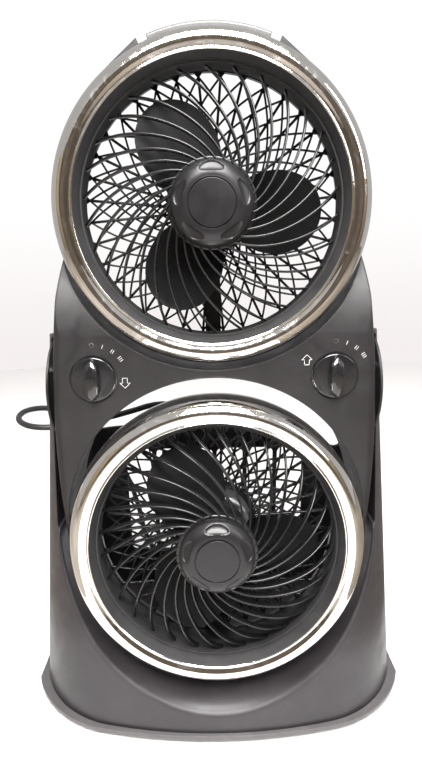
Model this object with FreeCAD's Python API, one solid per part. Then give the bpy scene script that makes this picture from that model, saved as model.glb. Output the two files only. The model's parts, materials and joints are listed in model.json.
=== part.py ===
import FreeCAD, Part
import math
import os

from FreeCAD import Placement, Rotation, Vector

# Twin-head table fan. Millimetres: +X to the right, -Y to the front, +Z up,
# origin on the floor under the middle of the base.

# ---- heads -------------------------------------------------------------------------------------
RING_R = 125.0               # outside of the chrome bezel
RING_NOSE = 6.5              # how far the bezel's nose stands in front of its widest circle
GRILLE_R = 104.7             # where the front vanes meet the bezel's inner cone
BARREL_R = 129.5             # where the bezel's barrel bulges most
BARREL_DEPTH = 28.0
DUCT_FRONT_R = 106.0
DUCT_REAR_R = 111.0
DUCT_DEPTH = 54.0
WALL = 2.5
HUB_R = 31.5
HUB_FRONT = -23.0
HUB_DISC_R = 17.6
HUB_DIMPLES = 5
VANES = 30
VANE_THICKNESS = 1.7
VANE_PITCH = math.tan(math.radians(40.0))    # turn per unit of ln(radius), a 40 degree spiral
REAR_RIBS = 36
RIB_THICKNESS = 2.4
STRUT_WIDTH = 14.0
BLADES = (117.0, -8.0, 241.0)                # where the three paddles stand, degrees from +X
BLADE_TIP_R = 90.0
BLADE_TWIST = 24.0
BLADE_DEPTH = 22.0
MOTOR_R = 33.0
MOTOR_FRONT = 38.0
MOTOR_JOIN = 57.0
MOTOR_BACK = 77.0
SHAFT_R = 4.0
PIVOT_DEPTH = 45.0           # tilt axis, behind the bezel's widest circle
PIN_R = 4.0
BUSH_R = 6.0                 # outside of the bushes that the heads' pins turn in
RUNNING_GAP = 0.05           # radial play of every pin and shaft that turns

UPPER = ("upper", Vector(0, -67.5, 466.0), 0.0)
LOWER = ("lower", Vector(0, -95.7, 185.0), 4.7)   # name, centre of the ring, degrees tipped back

# ---- frame -------------------------------------------------------------------------------------
FRAME_FRONT = -60.0
FRAME_SPLIT = -21.5          # front panel meets the rear hoop
FRAME_BACK = 8.0
FRAME_WAIST = 141.3          # half width at its middle
FRAME_FOOT = (137.5, 168.0)  # half width and height of the legs' ends
FRAME_HORN = (126.0, 436.0)
HOOP_R = 137.0
HOOP_INNER_R = 134.0
SADDLE_R = 134.0             # cut-out round the upper head
ARCH_Z = 191.0               # centre of the cut-out round the lower head
ARCH_R = 134.0
PANEL_FILLET = 8.0
TILT_AXIS = (-10.0, 322.0)   # y and z of the axis between frame and base
HANDLE_R = 146.0
HANDLE_END = 66.0            # angle where the grip meets its shoulders
KNOB_X = 103.5
KNOB_Z = 325.5
KNOB_R = 19.4
KNOB_HOLE_R = 20.0
KNOB_GRIP = 13.5             # how far the bar stands out of the disc

# ---- base --------------------------------------------------------------------------------------
TRAY_SIZE = (182.0, 116.0)   # half width, and reach in front of the origin
REAR_EXTRA = 7.2             # how much further the base reaches behind the origin
SHELL_FOOT = (174.0, 112.5)
SHELL_TOP = (152.0, 86.0)    # the same shell where the ears end
TRAY_Z = (3.0, 9.0)
EAR_Y, EAR_Z, EAR_R = -8.0, 308.0, 50.0
REAR_TOP = 232.0
REAR_SPLIT = 60.0
SLOT = 147.0                 # half width of the slot that the frame stands in
BOWL_Z = 183.0
SKIN = 3.0
FEET = ((150.0, -58.0), (150.0, 78.0))
PANES = 6                    # the rear cover's intake
PANE_PITCH = 36.0
PANE_WIDTH = 31.0
PANE_Z = (64.0, 202.0)
TOP_GAP = (80.0, 144.0, 207.0, 250.0)        # the low part of the rear cover's top edge: x and z

# ---- mains cord --------------------------------------------------------------------------------
CORD_R = 3.25
GLAND = (40.0, 91.0, 227.5)
CORD = [
    (13.0, 90.5, 240.0), (-45.5, 90.0, 268.0), (-108.0, 80.0, 251.0), (-166.0, 64.0, 243.5),
    (-202.0, 62.0, 243.5), (-227.0, 86.0, 246.0), (-227.0, 120.0, 248.0), (-201.0, 144.0, 244.0),
    (-157.0, 152.0, 222.0), (-124.0, 156.0, 172.0), (-103.0, 163.0, 107.0), (-96.0, 170.0, 47.0),
    (-70.0, 176.0, 3.4), (-20.0, 174.0, 3.3),
]
COIL_R = 37.9                # mean radius of the coiled turns
COIL_CENTRE = (12.0, 218.6)
LEAD = [(44.0, 174.0, 3.3), (74.5, 171.0, 3.6), (105.0, 178.0, 7.0), (131.0, 192.0, 7.05)]
PLUG_LENGTH = 30.0


# ---- drawing helpers -----------------------------------------------------------------------------
def flat(p):
    return Vector(p[0], p[1], 0)


def upright(y):
    """Places front-view points on the plane at this y."""
    return lambda p: Vector(p[0], y, p[1])


def side(x):
    """Places side-view points on the plane at this x."""
    return lambda p: Vector(x, p[0], p[1])


def level(z):
    return lambda p: Vector(p[0], p[1], z)


def outline(start, steps, put):
    """A closed wire. A step is a point for a straight run, or (through, end) for an arc."""
    edges = []
    here = start
    for step in steps:
        if isinstance(step[0], tuple):
            through, end = step
            edges.append(Part.Arc(put(here), put(through), put(end)).toShape())
        else:
            end = step
            edges.append(Part.LineSegment(put(here), put(end)).toShape())
        here = end
    if here != start:
        edges.append(Part.LineSegment(put(here), put(start)).toShape())
    return Part.Wire(edges)


def turned(start, steps):
    """A solid of revolution about the Y axis from a (radius, y) profile."""
    face = Part.Face(outline(start, steps, flat))
    return face.revolve(Vector(), Vector(0, 1, 0), 360)


def slab(start, steps, y_low, y_high):
    """A front-view outline extruded from one y to another."""
    return Part.Face(outline(start, steps, upright(y_low))).extrude(Vector(0, y_high - y_low, 0))


def block(x, y, z):
    """A box from three (low, high) pairs."""
    size = [high - low for low, high in (x, y, z)]
    return Part.makeBox(size[0], size[1], size[2], Vector(x[0], y[0], z[0]))


def rod_y(r, y_low, y_high, x=0.0, z=0.0):
    return Part.makeCylinder(r, y_high - y_low, Vector(x, y_low, z), Vector(0, 1, 0))


def rod_x(r, x_low, x_high, y=0.0, z=0.0):
    return Part.makeCylinder(r, x_high - x_low, Vector(x_low, y, z), Vector(1, 0, 0))


def rod_z(r, z_low, z_high, x=0.0, y=0.0):
    return Part.makeCylinder(r, z_high - z_low, Vector(x, y, z_low))


def tube_y(r_out, r_in, y_low, y_high, x=0.0, z=0.0):
    return rod_y(r_out, y_low, y_high, x, z).cut(rod_y(r_in, y_low, y_high, x, z))


def polar(r, degrees, z=0.0):
    a = math.radians(degrees)
    return r * math.cos(a), z + r * math.sin(a)


def spun(shape, degrees):
    """A copy turned about the Y axis, counter-clockwise seen from the front."""
    copy = shape.copy()
    copy.rotate(Vector(), Vector(0, -1, 0), degrees)
    return copy


def mirrored(shape):
    return shape.mirror(Vector(), Vector(1, 0, 0))


def both_sides(shape):
    return Part.makeCompound([shape, mirrored(shape)])


def save(node, shape):
    shape.exportStep("parts/" + node + ".step")


# ---- one head, drawn with its ring's centre at the origin -----------------------------------------
def bezel_ring():
    return turned((GRILLE_R, 5.7), [
        ((106.4, 0.2), (109.6, -5.2)),
        ((117.5, -RING_NOSE), (RING_R - 0.6, -1.6)),
        ((RING_R + 2.8, 8.5), (BARREL_R, 22.0)),
        (BARREL_R - 0.4, BARREL_DEPTH),
        (BARREL_R - 2.6, BARREL_DEPTH),
        (BARREL_R - 2.3, 22.0),
        ((RING_R + 0.4, 8.9), (RING_R - 3.2, -0.2)),
        ((122.0, -2.4), (117.0, -4.2)),
        ((112.5, -4.4), (110.6, -3.4)),
        (GRILLE_R + 2.2, 5.9),
    ])


def duct():
    flange_r = BARREL_R - 2.6
    shell = turned((DUCT_FRONT_R, 7.0), [
        (DUCT_REAR_R, DUCT_DEPTH),
        (DUCT_REAR_R + WALL, DUCT_DEPTH),
        (DUCT_FRONT_R + WALL + 1.2, BARREL_DEPTH),
        (flange_r, BARREL_DEPTH),
        (flange_r, BARREL_DEPTH - WALL),
        (DUCT_FRONT_R + WALL + 1.0, BARREL_DEPTH - WALL),
        (DUCT_FRONT_R + WALL, 7.0),
    ])
    bore = rod_y(DUCT_REAR_R + 1.0, 30.0, 60.0)
    for way in (-1, 1):
        low, high = sorted((way * 108.0, way * 126.0))
        boss = rod_x(8.0, low, high, PIVOT_DEPTH).cut(bore)
        shell = shell.fuse(boss)
        low, high = sorted((way * 113.5, way * 127.0))
        shell = shell.cut(rod_x(PIN_R, low, high, PIVOT_DEPTH))
    return shell


def spiral_strip(r_in, r_out, thickness, way, y_low, y_high):
    """A thin upright vane that follows a 40 degree spiral from one radius to another."""
    lean = math.cos(math.atan(VANE_PITCH))
    edge = {}
    for sign in (-1, 1):
        for r in (r_in, math.sqrt(r_in * r_out), r_out):
            turn = way * VANE_PITCH * math.log(r / r_in) + sign * thickness / (2 * r * lean)
            edge.setdefault(sign, []).append(polar(r, math.degrees(turn)))
    first, second = edge[-1], edge[1]
    return slab(first[0], [(first[1], first[2]), second[2], (second[1], second[0])], y_low, y_high)


def front_grille():
    band = turned((32.0, -15.0), [
        ((66.0, -9.5), (105.5, 3.5)), (105.5, 9.0), ((66.0, -3.0), (32.0, -8.0)),
    ])
    vane = spiral_strip(32.5, GRILLE_R - 0.1, VANE_THICKNESS, 1, -20.0, 12.0).common(band)
    vanes = [spun(vane, k * 360.0 / VANES) for k in range(VANES)]
    rim = turned((GRILLE_R - 1.4, 5.9), [(DUCT_FRONT_R + 1.6, 5.9), (DUCT_FRONT_R + 1.6, 7.0),
                                         (DUCT_FRONT_R, 7.0), (DUCT_FRONT_R, 11.0),
                                         (GRILLE_R - 1.4, 11.0)])
    hub = turned((0.0, -14.0), [(33.5, -14.0), ((34.5, -12.5), (34.5, -7.0)), (31.5, -7.0),
                                (31.5, -11.5), (0.0, -11.5)])
    return hub.multiFuse([rim] + vanes)


def hub_cap():
    groove = -25.4
    dome = turned((0.0, -14.0), [
        (HUB_R, -14.0), (HUB_R, -18.5), ((HUB_R - 3.2, HUB_FRONT), (HUB_DISC_R + 1.0, -26.4)),
        (HUB_DISC_R + 1.0, groove), (HUB_DISC_R, groove), (HUB_DISC_R, -27.2), (0.0, -27.2),
    ])
    for k in range(HUB_DIMPLES):
        x, z = polar(28.5, 90.0 + k * 360.0 / HUB_DIMPLES)
        dome = dome.cut(Part.makeSphere(6.5, Vector(x, -28.0, z)))
    return dome


def rear_grille():
    spread = REAR_RIBS * [None]
    rib_profile = [(112.0, 54.5), (112.0, 58.0), (35.0, 64.0)]
    rib = Part.Face(outline((35.0, 60.0), rib_profile, flat)).extrude(Vector(0, 0, RIB_THICKNESS))
    rib.translate(Vector(0, 0, -RIB_THICKNESS / 2))
    for k in range(REAR_RIBS):
        spread[k] = spun(rib, 5.0 + k * 360.0 / REAR_RIBS)
    strut = Part.Face(outline((34.0, 59.0), [(112.0, 54.2), (112.0, 59.4), (34.0, 66.0)], flat))
    strut = strut.extrude(Vector(0, 0, STRUT_WIDTH))
    strut.translate(Vector(0, 0, -STRUT_WIDTH / 2))
    inner_r, outer_r = DUCT_REAR_R - 1.0, DUCT_REAR_R + WALL + 2.0
    rim = turned((inner_r, DUCT_DEPTH), [(outer_r, DUCT_DEPTH), (outer_r, 57.0), (outer_r - 2.0, 59.5),
                                         (inner_r, 59.5)])
    hub = turned((MOTOR_R, 58.5), [(37.0, 58.5), (37.0, 67.0), (MOTOR_R, 67.0)])
    return hub.multiFuse([rim, spun(strut, 270.0)] + spread)


def motor_cup(y_open, y_closed):
    """A cup that holds half of the motor, with its bearing's seat in the closed end."""
    way = 1.0 if y_closed > y_open else -1.0
    floor = y_closed - way * WALL
    seat = y_closed - way * 9.0
    return turned((MOTOR_R, y_open), [
        (MOTOR_R, y_closed - way * 4.0), ((MOTOR_R - 1.2, y_closed - way * 1.2), (MOTOR_R - 4.0, y_closed)),
        (SHAFT_R + 1.0, y_closed), (SHAFT_R + 1.0, floor), (7.0, floor), (7.0, seat), (9.0, seat),
        (9.0, floor), (MOTOR_R - WALL, floor), (MOTOR_R - WALL, y_open),
    ])


def bearings():
    pair = []
    for y in (MOTOR_FRONT + WALL, MOTOR_BACK - WALL - 6.0):
        pair.append(tube_y(7.0, SHAFT_R + RUNNING_GAP, y, y + 6.0))
    return Part.makeCompound(pair)


def stator():
    core = tube_y(MOTOR_R - WALL, 17.0, 49.0, 66.0)
    for k in range(8):
        x, z = polar(23.5, 22.5 + 45.0 * k)
        core = core.cut(rod_y(3.2, 48.0, 67.0, x, z))
    return core


def rotor():
    shaft = rod_y(SHAFT_R, 4.0, MOTOR_BACK - 4.0)
    core = rod_y(16.4, 50.0, 65.0)
    return shaft.fuse(core)


def paddle():
    """One rounded paddle, drawn along +X and twisted about its own root line."""
    wire = outline((16.0, -14.0), [
        ((42.0, -33.0), (70.0, -29.5)), ((BLADE_TIP_R, 1.0), (71.0, 33.0)), ((40.0, 35.0), (16.0, 17.0)),
    ], upright(-1.1))
    plate = Part.Face(wire).extrude(Vector(0, 2.2, 0))
    plate.rotate(Vector(), Vector(1, 0, 0), BLADE_TWIST)
    plate.translate(Vector(0, BLADE_DEPTH, 0))
    return plate


def blade():
    bore = SHAFT_R
    hub = turned((bore, 8.0), [
        (22.0, 8.0), ((26.5, 9.5), (28.0, 14.0)), (28.0, 34.0), (25.5, 34.0), (25.5, 12.0),
        (9.0, 12.0), (9.0, 30.0), (bore, 30.0),
    ])
    centre = rod_y(25.6, 10.0, 36.0)
    paddles = [spun(paddle(), angle).cut(centre) for angle in BLADES]
    return hub.multiFuse(paddles)


def blade_nut():
    nut = turned((SHAFT_R, 2.0), [(6.5, 2.0), (9.0, 4.0), (9.0, 8.0), (SHAFT_R, 8.0)])
    for k in range(6):
        x, z = polar(10.4, 60.0 * k)
        nut = nut.cut(rod_y(2.6, 1.0, 7.0, x, z))
    return nut


def tilt_pins():
    return both_sides(rod_x(PIN_R, 113.5, 132.7, PIVOT_DEPTH))


def grille_screws():
    screws = []
    for k in range(4):
        x, z = polar(DUCT_REAR_R + 0.8, 45.0 + 90.0 * k)
        screws.append(rod_y(1.6, 59.5, 60.6, x, z))
    return Part.makeCompound(screws)


HEAD_PARTS = {
    "bezel_ring": bezel_ring, "duct": duct, "front_grille": front_grille, "hub_cap": hub_cap,
    "rear_grille": rear_grille, "motor_stator": stator, "motor_bearings": bearings,
    "tilt_pins": tilt_pins, "grille_screws": grille_screws,
    "motor_front_cup": lambda: motor_cup(MOTOR_JOIN, MOTOR_FRONT),
    "motor_rear_cup": lambda: motor_cup(MOTOR_JOIN, MOTOR_BACK),
    "fan_blade": blade, "fan_rotor": rotor, "fan_nut": blade_nut,
}


def save_heads():
    """Draws each head part once and saves it at both heads."""
    for part, draw in HEAD_PARTS.items():
        shape = draw()
        for name, centre, tipped in (UPPER, LOWER):
            copy = shape.copy()
            copy.Placement = Placement(centre, Rotation(Vector(1, 0, 0), -tipped))
            save(name + "_" + part, copy)


def pivot_of(centre, tipped):
    """Where a head's tilt axis crosses the middle plane."""
    a = math.radians(tipped)
    return centre.y + PIVOT_DEPTH * math.cos(a), centre.z - PIVOT_DEPTH * math.sin(a)


# ---- frame ---------------------------------------------------------------------------------------
def frame_body(inset, y_low, y_high, round_front):
    """The frame's hourglass, drawn in by inset, before the heads' circles are cut out of it."""
    foot, horn = FRAME_FOOT, FRAME_HORN
    wide = FRAME_WAIST - inset
    foot_x, horn_x = foot[0] - inset, horn[0] - inset
    body = slab((-foot_x, foot[1]), [
        ((-wide, 300.0), (-horn_x, horn[1])), (horn_x, horn[1]), ((wide, 300.0), (foot_x, foot[1])),
    ], y_low, y_high)
    if round_front:
        rim = [e for e in body.Edges if e.BoundBox.YMax < y_low + 0.1 and e.BoundBox.ZLength > 100.0]
        body = body.makeFillet(PANEL_FILLET - inset, rim)
    return body


def side_sweep(back):
    """What the front panel loses above the waist, where its edge runs back behind the ring."""
    low = 345.0 - back
    wire = outline((-90.0, low), [
        (FRAME_FRONT - 0.5 + back, low), ((-51.0 + back, 398.0 - back), (-26.0 + back, 436.0 - back)),
        (-26.0 + back, 480.0), (-90.0, 480.0),
    ], side(-200.0))
    return Part.Face(wire).extrude(Vector(400.0, 0, 0))


def head_space(r_upper, r_arch):
    upper = rod_y(r_upper, -100.0, 60.0, 0, UPPER[1].z)
    lower = rod_y(r_arch, -100.0, 60.0, 0, ARCH_Z)
    return upper.fuse(lower)


def with_pivot_tabs(shell, head, within):
    """Adds the two tabs that hold a head's bushes, kept inside a solid, and bores them."""
    y, z = pivot_of(head[1], head[2])
    for way in (-1, 1):
        low, high = sorted((way * 129.0, way * 138.0))
        tab = block((low, high), (y - 8.0, y + 10.0), (z - 10.0, z + 10.0))
        shell = shell.fuse(tab.common(within))
        low, high = sorted((way * 127.0, way * 133.0))
        shell = shell.cut(rod_x(BUSH_R, low, high, y, z))
    return shell


def frame_front_shell():
    outer = frame_body(0.0, FRAME_FRONT, FRAME_SPLIT, True)
    inner = frame_body(WALL, FRAME_FRONT + WALL, FRAME_SPLIT + 1.0, True).cut(side_sweep(WALL))
    edge_wall = head_space(SADDLE_R + WALL, ARCH_R + WALL).common(outer)
    shell = outer.cut(inner).fuse(edge_wall).cut(head_space(SADDLE_R, ARCH_R))
    shell = shell.cut(side_sweep(0.0))
    for x in (-KNOB_X, KNOB_X):
        shell = shell.cut(rod_y(KNOB_HOLE_R, FRAME_FRONT - 1.0, FRAME_FRONT + 8.0, x, KNOB_Z))
    return with_pivot_tabs(shell, LOWER, outer)


def shoulder():
    """A raised end of the handle, on the right-hand side."""
    z = UPPER[1].z
    points = [polar(138.0, 38.0, z), polar(140.6, 53.0, z), polar(HANDLE_R, HANDLE_END, z),
              polar(133.0, HANDLE_END, z)]
    return slab(polar(133.0, 38.0, z), points, FRAME_SPLIT, FRAME_BACK)


def frame_rear_shell():
    z = UPPER[1].z
    body = frame_body(0.0, FRAME_SPLIT, FRAME_BACK, False)
    hollow = frame_body(WALL, FRAME_SPLIT - 1.0, FRAME_BACK - WALL, False)
    hollow = hollow.cut(block((-200, 200), (-60, 60), (424.0, 500.0)))
    walls = head_space(SADDLE_R + WALL, ARCH_R + WALL).common(body)
    shell = body.cut(hollow).fuse(walls)
    hoop = tube_y(HOOP_R, HOOP_INNER_R, FRAME_SPLIT, FRAME_BACK, 0, z)
    grip_gap = slab((0.0, z), [polar(190.0, 180 - HANDLE_END, z), polar(190.0, HANDLE_END, z)], -40, 40)
    ends = [shoulder(), mirrored(shoulder())]
    shell = shell.multiFuse([hoop] + ends)
    shell = shell.cut(rod_y(HOOP_INNER_R, -100, 60, 0, z)).cut(rod_y(ARCH_R, -100, 60, 0, ARCH_Z))
    shell = shell.cut(grip_gap)
    for way in (-1, 1):
        low, high = sorted((way * 132.0, way * 145.0))
        shell = shell.cut(rod_x(6.0, low, high, *TILT_AXIS))
    return with_pivot_tabs(shell, UPPER, rod_y(HOOP_INNER_R + 1.0, -60.0, 20.0, 0, z))


def carry_handle():
    z = UPPER[1].z
    end = 180.0 - HANDLE_END
    low_r = HANDLE_R - 7.0
    bar = slab(polar(low_r, end - 3.5, z), [
        polar(HANDLE_R, end - 3.5, z), (polar(HANDLE_R, 90.0, z), polar(HANDLE_R, HANDLE_END + 3.5, z)),
        polar(low_r, HANDLE_END + 3.5, z), (polar(low_r, 90.0, z), polar(low_r, end - 3.5, z)),
    ], FRAME_SPLIT, FRAME_BACK)
    rim = [e for e in bar.Edges if e.BoundBox.XLength > 60.0]
    bar = bar.makeFillet(2.4, rim)
    neck_r = HANDLE_R - 2.0
    neck = slab(polar(low_r + 1.0, end, z), [
        polar(neck_r, end, z), (polar(neck_r, 90.0, z), polar(neck_r, HANDLE_END, z)),
        polar(low_r + 1.0, HANDLE_END, z), (polar(low_r + 1.0, 90.0, z), polar(low_r + 1.0, end, z)),
    ], FRAME_SPLIT + 8.0, FRAME_BACK - 5.0)
    return bar.fuse(neck)


def tilt_bushes():
    bushes = []
    for _, centre, tipped in (UPPER, LOWER):
        y, z = pivot_of(centre, tipped)
        ring = rod_x(BUSH_R, 129.0, 133.0, y, z).cut(rod_x(PIN_R + RUNNING_GAP, 128.0, 136.0, y, z))
        bushes += [ring, mirrored(ring)]
    return Part.makeCompound(bushes)


def frame_pins():
    """The two studs that the whole frame tilts on; each has a flange inside the frame's wall."""
    y, z = TILT_AXIS
    return rod_x(6.0, 135.0, SLOT + WALL, y, z).fuse(rod_x(10.0, 134.0, 137.0, y, z))


def frame_screws():
    screws = []
    for x, z in ((126.0, 250.0), (126.0, 392.0), (98.0, 300.0)):
        screw = rod_y(3.2, FRAME_BACK, FRAME_BACK + 1.8, x, z)
        slot = block((x - 3.0, x + 3.0), (FRAME_BACK + 1.0, FRAME_BACK + 3.0), (z - 0.5, z + 0.5))
        screw = screw.cut(slot)
        screws += [screw, mirrored(screw)]
    return Part.makeCompound(screws)


def speed_switch(x):
    """A rotary switch and its seat plate, behind one knob."""
    plate = rod_y(22.5, FRAME_FRONT + WALL, FRAME_FRONT + WALL + 2.0, x, KNOB_Z)
    body = block((x - 12, x + 12), (FRAME_FRONT + WALL + 2.0, -32.0), (KNOB_Z - 13, KNOB_Z + 13))
    tabs = block((x - 9, x + 9), (-32.0, -25.0), (KNOB_Z - 1, KNOB_Z + 1))
    bore = rod_y(3.0 + RUNNING_GAP, FRAME_FRONT, -40.0, x, KNOB_Z)
    return plate.fuse(body).cut(bore).fuse(tabs)


def speed_knob(x):
    """A disc with an upright tapered grip and the stem that turns in its switch."""
    disc = turned((0.0, FRAME_FRONT + 1.6), [
        (KNOB_R, FRAME_FRONT + 1.6), (KNOB_R, FRAME_FRONT - 1.2),
        ((KNOB_R - 0.5, FRAME_FRONT - 2.4), (KNOB_R - 1.8, FRAME_FRONT - 2.8)), (0.0, FRAME_FRONT - 3.2),
    ])
    half, reach = 5.6, 18.2
    grip = slab((-half, 8.0), [
        ((-3.6, 15.5), (0.0, reach)), ((3.6, 15.5), (half, 8.0)), ((half + 0.8, 0.0), (half, -8.0)),
        ((3.6, -15.5), (0.0, -reach)), ((-3.6, -15.5), (-half, -8.0)), ((-half - 0.8, 0.0), (-half, 8.0)),
    ], FRAME_FRONT - KNOB_GRIP, FRAME_FRONT - 1.0)
    crown = turned((0.0, FRAME_FRONT), [
        (reach + 1.0, FRAME_FRONT), (reach + 0.6, FRAME_FRONT - 7.0),
        ((14.0, FRAME_FRONT - 12.2), (0.0, FRAME_FRONT - KNOB_GRIP)),
    ])
    knob = disc.fuse(grip.common(crown))
    knob = knob.fuse(rod_y(3.0, FRAME_FRONT + 1.0, -42.0))
    knob.translate(Vector(x, 0, KNOB_Z))
    return knob


# ---- base ----------------------------------------------------------------------------------------
def plan(half, z):
    """The base's plan outline for a (half width, front reach): bowed front, big round corners."""
    w, d = half
    r = d + REAR_EXTRA
    k = w / TRAY_SIZE[0]
    front, corner = (110.0 * k, -d + 12.0), (155.0 * k, -d + 36.0)
    flank, back = (w, -d + 76.0), (w, r - 66.0)
    rear_corner, rear = (w - 15.0, r - 20.0), (w - 60.0, r)
    return outline((-front[0], front[1]), [
        ((0.0, -d), front), (corner, flank), back, (rear_corner, rear), (-rear[0], rear[1]),
        ((-rear_corner[0], rear_corner[1]), (-back[0], back[1])), (-flank[0], flank[1]),
        ((-corner[0], corner[1]), (-front[0], front[1])),
    ], level(z))


def base_block(inset, z_low):
    """The base's tapering outside as one solid, drawn in by inset."""
    top = EAR_Z + EAR_R + 2.0
    wires = []
    for half, z in ((SHELL_FOOT, z_low), (SHELL_TOP, top)):
        wires.append(plan((half[0] - inset, half[1] - inset), z))
    return Part.makeLoft(wires, True, True)


def space_above_base():
    """Everything over the ears' round tops and the rear edge, seen from the side."""
    front, back = EAR_Y - EAR_R, EAR_Y + EAR_R
    wire = outline((-140.0, EAR_Z), [
        (front, EAR_Z), ((EAR_Y, EAR_Z + EAR_R), (back, EAR_Z)), (back + 10.0, REAR_TOP),
        (140.0, REAR_TOP), (140.0, 400.0), (-140.0, 400.0),
    ], side(-200.0))
    return Part.Face(wire).extrude(Vector(400.0, 0, 0))


def bowl_space(extra):
    """The dish round the lower ring: a lip at the front that rolls in to a straight throat."""
    dish = turned((0.0, -125.0), [
        (172.0 + extra, -125.0), ((157.0 + extra, -113.0), (151.5 + extra, -104.0)),
        ((146.5 + extra, -88.0), (144.5 + extra, -58.0)), (144.5 + extra, -12.0), (0.0, -12.0),
    ])
    dish.translate(Vector(0, 0, BOWL_Z))
    return dish


def slot_space():
    """The slot between the arms, which stops short of the rear wall."""
    return block((-SLOT, SLOT), (-130.0, REAR_SPLIT), (BOWL_Z, 400.0))


def arm_walls():
    """The inside walls of both ears' arms, each standing on a ledge that meets the bowl."""
    depth, floor = (-130.0, EAR_Y + EAR_R + 10.0), BOWL_Z - WALL
    wall = block((SLOT, SLOT + WALL), depth, (floor, 400.0))
    ledge = block((SLOT - 8.0, SLOT + WALL), depth, (floor, BOWL_Z))
    wall = wall.fuse(ledge)
    return [wall, mirrored(wall)]


def base_shell():
    outer = base_block(0.0, TRAY_Z[1])
    roof = block((-200, 200), (-130, 140), (EAR_Z + EAR_R - 1.0, 400))
    inner = base_block(SKIN, TRAY_Z[1]).cut(roof)
    dish = bowl_space(WALL).cut(bowl_space(0.0)).common(outer)
    walls = [wall.common(outer) for wall in arm_walls()]
    shell = outer.cut(inner).multiFuse([dish] + walls)
    return shell.cut(bowl_space(0.0)).cut(slot_space()).cut(space_above_base())


def rounded_pane(x_low, x_high, z_low, z_high):
    """A round-cornered opening through the rear cover."""
    r = 7.0
    near = 0.293 * r
    return slab((x_low + r, z_low), [
        (x_high - r, z_low), ((x_high - near, z_low + near), (x_high, z_low + r)), (x_high, z_high - r),
        ((x_high - near, z_high - near), (x_high - r, z_high)), (x_low + r, z_high),
        ((x_low + near, z_high - near), (x_low, z_high - r)), (x_low, z_low + r),
        ((x_low + near, z_low + near), (x_low + r, z_low)),
    ], REAR_SPLIT + 20.0, 140.0)


def base_shells():
    """The front moulding and the rear cover, parted on one upright plane."""
    whole = base_shell()
    cover_space = block((-200, 200), (REAR_SPLIT, 140), (0, REAR_TOP + 1))
    front, cover = whole.cut(cover_space), whole.common(cover_space)
    for way in (-1, 1):
        low, high = sorted((way * (SLOT - 3.0), way * (SLOT + WALL)))
        front = front.cut(rod_x(9.0, low, high, *TILT_AXIS))
    for k in range(PANES):
        x = (k - (PANES - 1) / 2.0) * PANE_PITCH
        cover = cover.cut(rounded_pane(x - PANE_WIDTH / 2.0, x + PANE_WIDTH / 2.0, *PANE_Z))
    return front, cover.cut(rounded_pane(*TOP_GAP))


def base_tray():
    low, high = TRAY_Z
    size = (TRAY_SIZE[0] - 1.0, TRAY_SIZE[1] - 1.0)
    wires = [plan(size, low), plan(TRAY_SIZE, low + 2.5), plan(TRAY_SIZE, high)]
    lower = Part.makeLoft(wires[:2], True, True)
    upper = Part.makeLoft(wires[1:], True, True)
    inside = (SHELL_FOOT[0] - SKIN - 0.2, SHELL_FOOT[1] - SKIN - 0.2)
    lip_top = (inside[0] - 0.9, inside[1] - 0.9)
    lip = Part.makeLoft([plan(inside, high), plan(lip_top, high + 8.0)], True, True)
    well = (inside[0] - WALL, inside[1] - WALL)
    hollow = Part.makeLoft([plan(well, low + WALL), plan(well, high + 9.0)], True, True)
    return lower.fuse(upper).fuse(lip).cut(hollow)


def rubber_feet():
    return Part.makeCompound([pad for x, y in FEET for pad in (
        rod_z(11.0, 0.0, TRAY_Z[0], x, y), rod_z(11.0, 0.0, TRAY_Z[0], -x, y))])


def base_screws():
    screws = []
    for x, y in ((120.0, -70.0), (150.0, 40.0), (100.0, 96.0)):
        screw = rod_z(3.5, 1.6, TRAY_Z[0], x, y).cut(block((x - 3, x + 3), (y - 0.5, y + 0.5), (1.0, 2.2)))
        screws += [screw, mirrored(screw)]
    return Part.makeCompound(screws)


def ear_cap():
    """The disc that closes the inside of the right-hand ear, round the pivot."""
    disc = rod_x(EAR_R - 3.0, SLOT - 2.0, SLOT, EAR_Y, EAR_Z)
    return disc.cut(rod_x(9.0, SLOT - 3.0, SLOT + 1.0, *TILT_AXIS))


def frame_bushes():
    y, z = TILT_AXIS
    ring = rod_x(9.0, SLOT - 2.0, SLOT + WALL, y, z)
    return both_sides(ring.cut(rod_x(6.0 + RUNNING_GAP, SLOT - 3.0, SLOT + 10.0, y, z)))


# ---- mains cord ----------------------------------------------------------------------------------
def bend_radius(before, corner, after):
    """The radius that two runs allow, and how far along each run the bend starts."""
    first, second = before - corner, after - corner
    turn = math.pi - first.getAngle(second)
    reach = 0.45 * min(first.Length, second.Length)
    return reach / math.tan(turn / 2), reach


def cord_path(points):
    """Straight runs joined by tangent arcs, as one wire, with its tightest radius."""
    route = [Vector(*p) for p in points]
    edges, radii, here = [], [], route[0]
    for before, corner, after in zip(route, route[1:], route[2:]):
        radius, reach = bend_radius(before, corner, after)
        radii.append(radius)
        start = corner + (before - corner).normalize() * reach
        end = corner + (after - corner).normalize() * reach
        inward = ((start + end) * 0.5 - corner).normalize()
        half_gap = (start - end).Length / 2
        to_centre = math.sqrt(radius ** 2 + reach ** 2)
        middle = corner + inward * (to_centre - radius)
        if half_gap > 0.0:
            edges.append(Part.LineSegment(here, start).toShape())
            edges.append(Part.Arc(start, middle, end).toShape())
        here = end
    edges.append(Part.LineSegment(here, route[-1]).toShape())
    return Part.Wire(edges), radii


def cord_tube(name, points):
    path, radii = cord_path(points)
    start = Vector(*points[0])
    ahead = Vector(*points[1]) - start
    section = Part.Wire(Part.makeCircle(CORD_R, start, ahead))
    tube = path.makePipeShell([section], True, False)
    expected = math.pi * CORD_R ** 2 * path.Length
    print(name, "length %.0f mm, volume ratio %.4f" % (path.Length, tube.Volume / expected))
    print("  radii", " ".join("%.0f" % r for r in radii))
    return tube


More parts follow.
